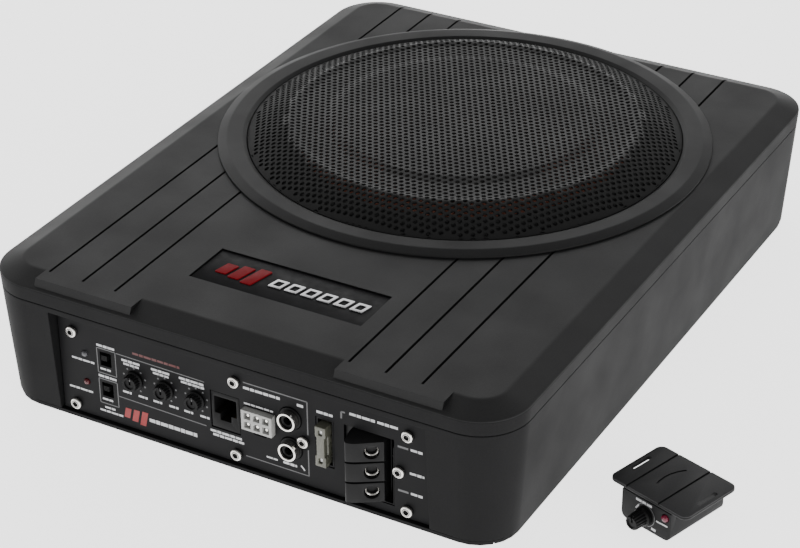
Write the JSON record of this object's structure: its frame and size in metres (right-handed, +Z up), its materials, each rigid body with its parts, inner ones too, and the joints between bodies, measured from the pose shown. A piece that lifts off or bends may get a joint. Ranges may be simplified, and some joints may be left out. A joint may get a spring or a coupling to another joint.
{
  "type": "powered car subwoofer",
  "caption": "Slim under-seat powered car subwoofer: round grilled woofer in a flat ribbed enclosure, amplifier control panel on one end, and a small level remote beside it.",
  "frame": {"origin": "centre of the enclosure's flat underside, on the surface it stands on", "axes": "+Z up; the control panel faces -Y; +X to the right as the panel is read"},
  "size_m": [0.2916, 0.2995, 0.07],
  "materials": {
    "case_black": "fine spark-textured matt moulding",
    "ring_black": "satin moulding",
    "grille_black": "semi-gloss powder coat on perforated sheet",
    "badge_gloss": "smooth gloss inlay",
    "panel_black": "satin black paint with white print",
    "plate_black": "matt powder coat",
    "bright_screw": "bright zinc",
    "zinc_steel": "dull zinc",
    "nickel_sleeve": "nickel plate",
    "basket_black": "black paint",
    "ferrite": "dull sintered",
    "cone_paper": "pressed paper pulp",
    "surround_rubber": "matt butyl",
    "spider_cloth": "resin-stiffened weave",
    "coil_copper": "enamelled winding",
    "gasket_foam": "closed-cell foam",
    "control_black": "plain moulded",
    "terminal_gloss": "polished moulding",
    "connector_white": "natural nylon",
    "fuse_smoke": "clear smoky plastic",
    "led_red": "clear dyed lens",
    "led_clear": "clear lens",
    "board_green": "solder-masked laminate",
    "capacitor_sleeve": "shrunk sleeve",
    "heat_sink_aluminium": "extruded",
    "remote_black": "plain satin moulding"
  },
  "bodies": {
    "enclosure": {"bottom_plate": "plate_black", "lower_shell": "case_black", "top_cover": "case_black", "lid_gasket": "gasket_foam", "badge_plate": "badge_gloss", "grille_ring": "ring_black", "grille": "grille_black", "woofer_basket": "basket_black", "woofer_yoke": "zinc_steel", "woofer_magnet": "ferrite", "woofer_top_plate": "zinc_steel", "woofer_surround": "surround_rubber", "woofer_spider": "spider_cloth", "control_panel": "panel_black", "power_led": "led_clear", "protect_led": "led_red", "phase_switch_body": "control_black", "auto_on_switch_body": "control_black", "low_pass_pot": "zinc_steel", "gain_pot": "zinc_steel", "bass_boost_pot": "zinc_steel", "remote_socket": "control_black", "speaker_input_socket": "connector_white", "rca_block": "control_black", "rca_sleeve_upper": "nickel_sleeve", "rca_sleeve_lower": "nickel_sleeve", "fuse_socket": "control_black", "power_terminal_block": "terminal_gloss", "amplifier_board": "board_green", "power_transformer": "coil_copper", "filter_capacitor": "capacitor_sleeve", "heat_sink": "heat_sink_aluminium", "bottom_screw_1": "zinc_steel", "bottom_screw_2": "zinc_steel", "bottom_screw_3": "zinc_steel", "bottom_screw_4": "zinc_steel", "panel_screw_1": "bright_screw", "panel_screw_2": "bright_screw", "panel_screw_3": "bright_screw", "panel_screw_4": "bright_screw", "panel_screw_5": "bright_screw", "panel_screw_6": "bright_screw", "panel_screw_7": "bright_screw", "panel_screw_8": "bright_screw"},
    "cone_assembly": {"woofer_cone": "cone_paper", "woofer_dust_cap": "cone_paper", "voice_coil": "coil_copper"},
    "low_pass_knob": {"low_pass_knob": "control_black"},
    "gain_knob": {"gain_knob": "control_black"},
    "bass_boost_knob": {"bass_boost_knob": "control_black"},
    "phase_slider": {"phase_switch_slider": "control_black"},
    "auto_on_slider": {"auto_on_switch_slider": "control_black"},
    "fuse": {"fuse": "fuse_smoke"},
    "terminal_screw_1": {"terminal_screw_1": "bright_screw"},
    "terminal_screw_2": {"terminal_screw_2": "bright_screw"},
    "terminal_screw_3": {"terminal_screw_3": "bright_screw"},
    "remote": {"remote_housing": "remote_black", "remote_bracket": "remote_black", "remote_led": "led_red"},
    "remote_knob": {"remote_knob": "control_black"}
  },
  "joints": [
    {"name": "cone_travel", "type": "slide", "parent": "enclosure", "child": "cone_assembly", "axis": [0, 0, 1], "range_m": [-0.006, 0.006], "stiffness_N_per_m": 4000, "deforming": ["woofer_surround", "woofer_spider"]},
    {"name": "low_pass_turn", "type": "hinge", "parent": "enclosure", "child": "low_pass_knob", "pos_m": [-0.0472, -0.1435, 0.0253], "axis": [0, -1, 0], "range_deg": [-150, 150]},
    {"name": "gain_turn", "type": "hinge", "parent": "enclosure", "child": "gain_knob", "pos_m": [-0.033, -0.1435, 0.0253], "axis": [0, -1, 0], "range_deg": [-150, 150]},
    {"name": "bass_boost_turn", "type": "hinge", "parent": "enclosure", "child": "bass_boost_knob", "pos_m": [-0.0188, -0.1435, 0.0253], "axis": [0, -1, 0], "range_deg": [-150, 150]},
    {"name": "phase_slide", "type": "slide", "parent": "enclosure", "child": "phase_slider", "axis": [0, 0, 1], "range_m": [-0.0022, 0]},
    {"name": "auto_on_slide", "type": "slide", "parent": "enclosure", "child": "auto_on_slider", "axis": [0, 0, 1], "range_m": [-0.0022, 0]},
    {"name": "fuse_pull", "type": "slide", "parent": "enclosure", "child": "fuse", "axis": [0, -1, 0], "range_m": [0, 0.025]},
    {"name": "terminal_screw_1_turn", "type": "hinge", "parent": "enclosure", "child": "terminal_screw_1", "pos_m": [0.05661, -0.14149, 0.02825], "axis": [0.5, -0.866, 0], "range_deg": [0, 360]},
    {"name": "terminal_screw_2_turn", "type": "hinge", "parent": "enclosure", "child": "terminal_screw_2", "pos_m": [0.05661, -0.14149, 0.01935], "axis": [0.5, -0.866, 0], "range_deg": [0, 360]},
    {"name": "terminal_screw_3_turn", "type": "hinge", "parent": "enclosure", "child": "terminal_screw_3", "pos_m": [0.05661, -0.14149, 0.01045], "axis": [0.5, -0.866, 0], "range_deg": [0, 360]},
    {"name": "remote_lift", "type": "slide", "parent": "enclosure", "child": "remote", "axis": [0, 0, 1], "range_m": [0, 0.1]},
    {"name": "remote_level_turn", "type": "hinge", "parent": "remote", "child": "remote_knob", "pos_m": [0.15042, -0.10468, 0.0062], "axis": [-0.3007, -0.9537, 0], "range_deg": [-150, 150]}
  ]
}
